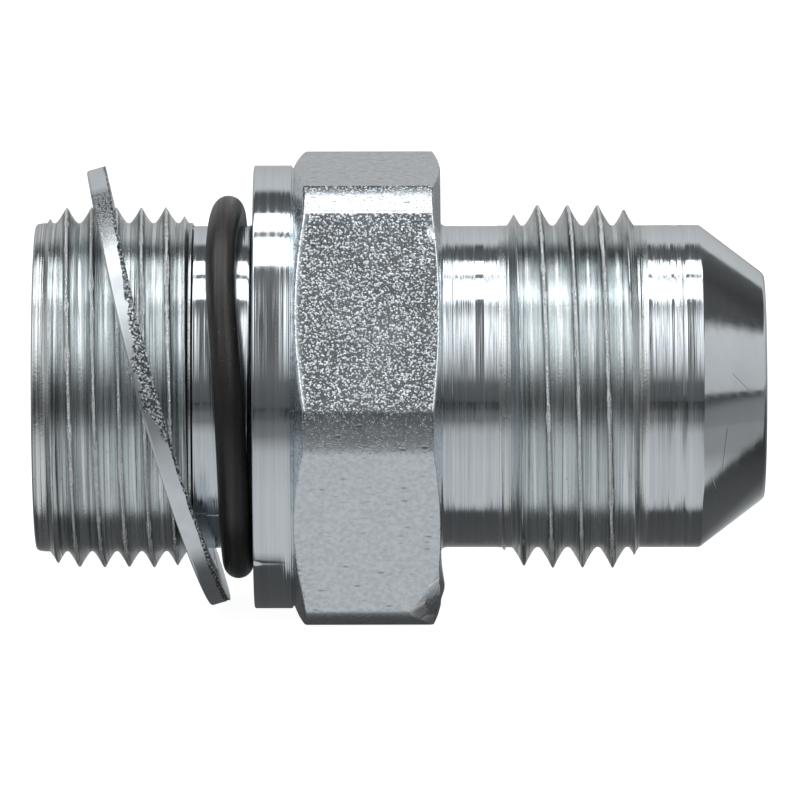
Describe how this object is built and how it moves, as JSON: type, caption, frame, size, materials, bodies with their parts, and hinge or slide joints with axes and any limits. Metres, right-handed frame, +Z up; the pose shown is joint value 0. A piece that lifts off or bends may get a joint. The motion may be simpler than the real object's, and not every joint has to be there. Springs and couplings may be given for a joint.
{
  "type": "hydraulic connector",
  "caption": "Straight steel hydraulic adapter: metric stud with O-ring and loose retaining ring, round collar, hexagon, and a male flare-cone end, lying on a flat.",
  "frame": {"origin": "middle of the length and width, on the surface that the lower flat of the hexagon rests on", "axes": "+X along the fitting's axis towards the flare cone, +Y to the rear, +Z up out of the upper flat of the hexagon"},
  "size_m": [0.044, 0.0296, 0.0269],
  "materials": {
    "zinc_plating": "bluish zinc plate over turned and cold-formed steel",
    "black_rubber": "satin black nitrile rubber",
    "sheared_steel": "plated flat steel with a rough sheared edge"
  },
  "bodies": {
    "root": {"connector_body": "zinc_plating", "o_ring": "black_rubber", "retaining_ring": "sheared_steel"}
  },
  "joints": []
}
